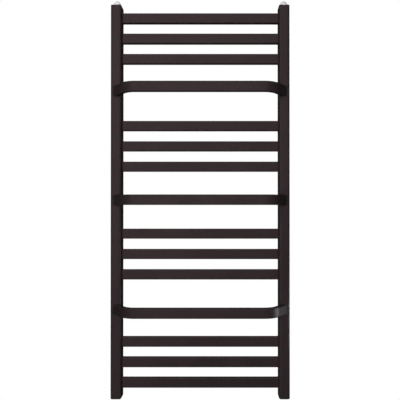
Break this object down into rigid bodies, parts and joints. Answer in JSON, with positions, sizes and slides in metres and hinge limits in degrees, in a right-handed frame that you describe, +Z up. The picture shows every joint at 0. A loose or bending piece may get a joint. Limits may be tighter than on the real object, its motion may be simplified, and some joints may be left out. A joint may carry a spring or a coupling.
{
  "type": "towel warmer rack",
  "caption": "Wall-hung ladder towel warmer with two upright tubes, grouped flat rungs, bowed front bars, bleed vents, bottom water ports and telescopic wall brackets.",
  "frame": {"origin": "middle of the four wall screw holes, on the wall plane", "axes": "+Z up along the uprights, +Y into the wall (the rack's front faces -Y), +X to the right as seen from the front"},
  "size_m": [0.532, 0.142, 1.1867],
  "materials": {
    "coated_steel": "dark warm brown-black satin powder coat, finely textured",
    "chrome_fittings": "polished chrome plate",
    "white_plastic": "white moulded plastic, semi-gloss",
    "black_rubber": "black nitrile rubber, matt",
    "zinc_steel": "bright zinc-plated turned steel"
  },
  "bodies": {
    "wall_brackets": {"upper_left_sleeve": "coated_steel", "upper_right_sleeve": "coated_steel", "lower_left_sleeve": "coated_steel", "lower_right_sleeve": "coated_steel", "grub_screws": "zinc_steel"},
    "rack": {"left_upright": "coated_steel", "right_upright": "coated_steel", "left_top_block": "coated_steel", "right_top_block": "coated_steel", "left_bottom_block": "coated_steel", "right_bottom_block": "coated_steel", "rung_01": "coated_steel", "rung_02": "coated_steel", "rung_03": "coated_steel", "rung_04": "coated_steel", "rung_05": "coated_steel", "rung_06": "coated_steel", "rung_07": "coated_steel", "rung_08": "coated_steel", "rung_09": "coated_steel", "rung_10": "coated_steel", "rung_11": "coated_steel", "rung_12": "coated_steel", "upper_bowed_bar": "coated_steel", "middle_bowed_bar": "coated_steel", "lower_bowed_bar": "coated_steel", "left_vent_body": "chrome_fittings", "right_vent_body": "chrome_fittings", "left_vent_seal": "black_rubber", "right_vent_seal": "black_rubber", "upper_left_post": "zinc_steel", "upper_right_post": "zinc_steel", "lower_left_post": "zinc_steel", "lower_right_post": "zinc_steel", "post_bosses": "coated_steel"},
    "left_spout": {"left_vent_spout": "white_plastic"},
    "right_spout": {"right_vent_spout": "white_plastic"},
    "left_needle": {"left_vent_needle": "chrome_fittings"},
    "right_needle": {"right_vent_needle": "chrome_fittings"}
  },
  "joints": [
    {"name": "wall_distance", "type": "slide", "parent": "wall_brackets", "child": "rack", "axis": [0, -1, 0], "range_m": [-0.005, 0.01]},
    {"name": "left_spout_turn", "type": "hinge", "parent": "rack", "child": "left_spout", "pos_m": [-0.25, -0.065, 0.58], "axis": [0, 0, 1], "continuous": true},
    {"name": "left_bleed_turn", "type": "hinge", "parent": "rack", "child": "left_needle", "pos_m": [-0.25, -0.065, 0.58], "axis": [0, 0, 1], "range_deg": [0, 540]},
    {"name": "right_spout_turn", "type": "hinge", "parent": "rack", "child": "right_spout", "pos_m": [0.25, -0.065, 0.58], "axis": [0, 0, 1], "continuous": true},
    {"name": "right_bleed_turn", "type": "hinge", "parent": "rack", "child": "right_needle", "pos_m": [0.25, -0.065, 0.58], "axis": [0, 0, 1], "range_deg": [0, 540]}
  ]
}
